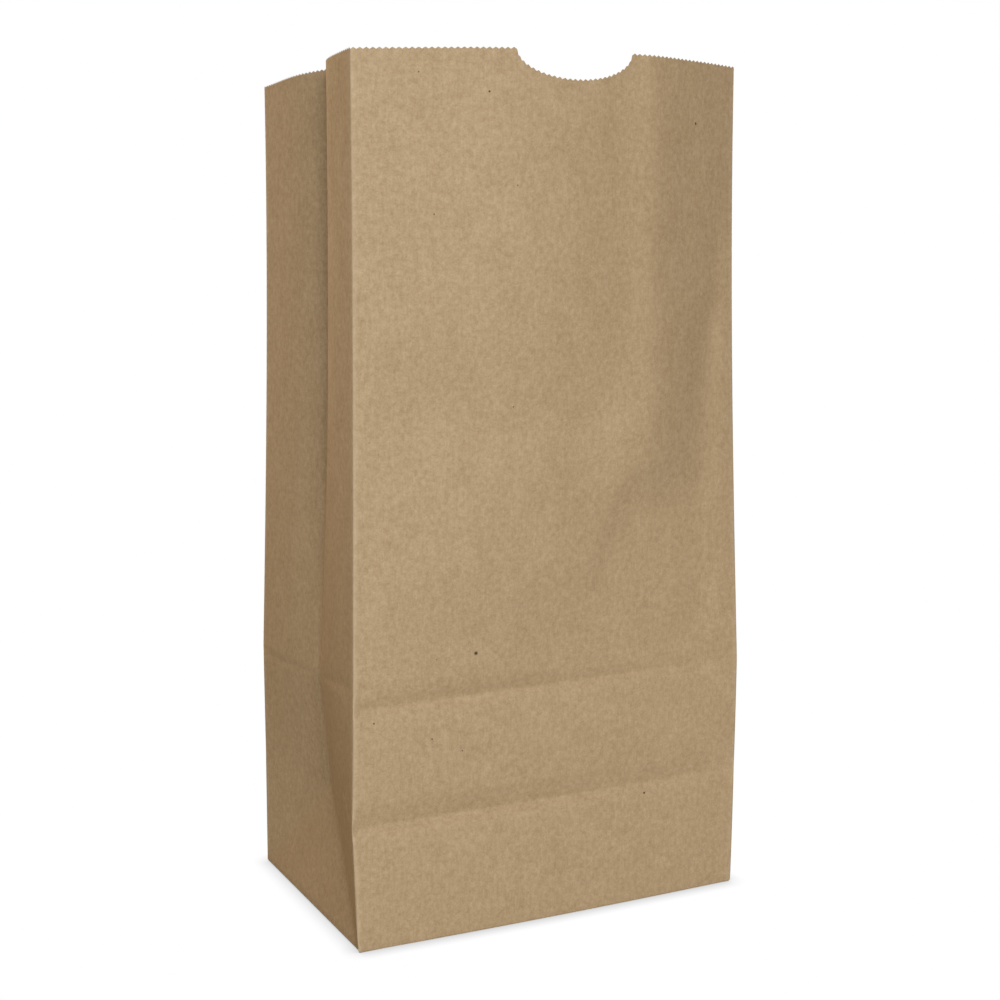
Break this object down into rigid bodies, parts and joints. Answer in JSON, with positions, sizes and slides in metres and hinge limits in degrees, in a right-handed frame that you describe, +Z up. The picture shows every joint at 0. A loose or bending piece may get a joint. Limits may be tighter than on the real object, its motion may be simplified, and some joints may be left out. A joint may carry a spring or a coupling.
{
  "type": "paper lunch bag",
  "caption": "Flat-bottomed brown kraft paper bag standing open: gusseted sides, zigzag-cut rim with a half-oval thumb notch, lap seam down the back, creased lower part.",
  "frame": {"origin": "middle of the bottom, on the surface that the bag stands on", "axes": "+Z up along the bag's height, front panel with the thumb notch facing -Y, +X to the right seen from the front"},
  "size_m": [0.1381, 0.107, 0.2709],
  "materials": {
    "kraft_paper": "matt unbleached kraft paper with fine fibre mottling"
  },
  "bodies": {
    "root": {"paper_bag": "kraft_paper"}
  },
  "joints": []
}
